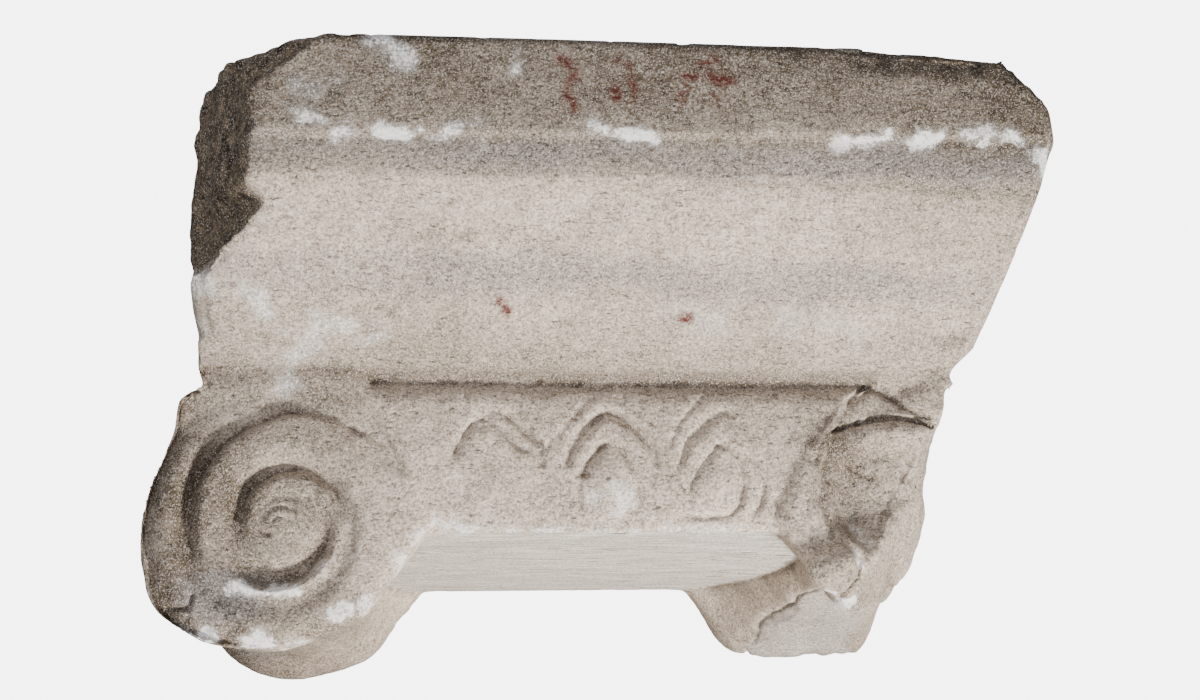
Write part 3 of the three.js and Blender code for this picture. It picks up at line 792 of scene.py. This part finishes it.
    heights = maths("ADD", maths("MULTIPLY", grain, 0.6), maths("MULTIPLY", sugar, 0.2))
    heights = maths("ADD", heights, maths("MULTIPLY", scratches, 0.3))
    heights = add(tree, "ShaderNodeMix", {0: masks["dressed"], 2: heights, 3: streaks}).outputs[0]
    bump = add(tree, "ShaderNodeBump", {"Height": heights, "Strength": 1.0, "Distance": 1.6 * MM})
    tree.links.new(bump.outputs["Normal"], shader.inputs["Normal"])
    tree.links.new(colour, shader.inputs["Base Color"])
    shader.inputs["Roughness"].default_value = 0.9
    shader.inputs["IOR"].default_value = 1.5
    shader.inputs["Specular IOR Level"].default_value = 0.2
    return material


capital = bpy.data.objects.new("capital_stone", carved_stone())
bpy.context.scene.collection.objects.link(capital)
capital.data.materials.clear()
capital.data.materials.append(marble())
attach(capital, "root")
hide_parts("capital")


# ---- Floor, light and camera ----

def pale_floor():
    """A plain pale floor, solid from above; the low camera and lights see through it."""
    plane = bmesh.new()
    bmesh.ops.create_grid(plane, x_segments=1, y_segments=1, size=6)
    mesh = bpy.data.meshes.new("floor")
    plane.to_mesh(mesh)
    plane.free()
    floor = bpy.data.objects.new("floor", mesh)
    bpy.context.scene.collection.objects.link(floor)
    material = bpy.data.materials.new("pale_floor")
    material.use_nodes = True
    tree = material.node_tree
    tree.nodes.clear()
    paint = add(tree, "ShaderNodeBsdfDiffuse", {"Color": linear("#e9e7e4")})
    clear = add(tree, "ShaderNodeBsdfTransparent")
    below = add(tree, "ShaderNodeNewGeometry").outputs["Backfacing"]
    shadow = add(tree, "ShaderNodeLightPath").outputs["Is Shadow Ray"]
    either = add(tree, "ShaderNodeMath", {0: below, 1: shadow}, operation="MAXIMUM").outputs[0]
    seen = add(tree, "ShaderNodeMixShader", {0: either, 1: paint.outputs[0], 2: clear.outputs[0]})
    add(tree, "ShaderNodeOutputMaterial", {"Surface": seen.outputs[0]})
    mesh.materials.append(material)


def soft_light(name, place, target, size, watts, colour):
    data = bpy.data.lights.new(name, "AREA")
    data.shape = "DISK"
    data.size = size
    data.energy = watts
    data.color = linear(colour)[:3]
    light = bpy.data.objects.new(name, data)
    light.location = place
    light.rotation_euler = (Vector(target) - Vector(place)).to_track_quat("-Z", "Y").to_euler()
    bpy.context.scene.collection.objects.link(light)


def studio():
    middle = (LOW + HIGH) / 2
    soft_light("key", middle + Vector((1.1, -1.15, -1.75)), middle, 0.5, 112, "#fffaf4")
    soft_light("front", middle + Vector((-0.8, -2.2, -0.4)), middle, 1.0, 22, "#f8f8ff")
    soft_light("crown", middle + Vector((0.3, 0.6, 2.2)), middle, 1.8, 16, "#ffffff")
    world = bpy.data.worlds.new("studio")
    world.use_nodes = True
    tree = world.node_tree
    backdrop = tree.nodes["Background"]
    backdrop.inputs["Color"].default_value = linear("#ffffff")
    backdrop.inputs["Strength"].default_value = 0.22
    lit = add(tree, "ShaderNodeBackground", {"Color": linear("#ffffff"), "Strength": 6.0})
    camera_ray = add(tree, "ShaderNodeLightPath").outputs["Is Camera Ray"]
    both = add(tree, "ShaderNodeMixShader", {0: camera_ray, 1: backdrop.outputs[0], 2: lit.outputs[0]})
    tree.links.new(both.outputs[0], tree.nodes["World Output"].inputs["Surface"])
    bpy.context.scene.world = world


def camera():
    """A 50 mm lens low in front of the capital, a little to its left, looking up at it."""
    azimuth, elevation, roll = (math.radians(a) for a in (-6.774, -13.537, -1.104))
    distance = 1.3903
    target = Vector((0.0228, 0, 0.257))
    back = Vector((
        math.sin(azimuth) * math.cos(elevation),
        -math.cos(azimuth) * math.cos(elevation),
        math.sin(elevation),
    ))
    data = bpy.data.cameras.new("camera")
    data.lens = 50
    data.sensor_width = 36
    data.clip_start = 0.05
    view = bpy.data.objects.new("camera", data)
    turn = back.to_track_quat("Z", "Y").to_matrix().to_4x4() @ Matrix.Rotation(roll, 4, "Z")
    view.matrix_world = Matrix.Translation(target + back * distance) @ turn
    bpy.context.scene.collection.objects.link(view)
    bpy.context.scene.camera = view


pale_floor()
studio()
camera()

import json
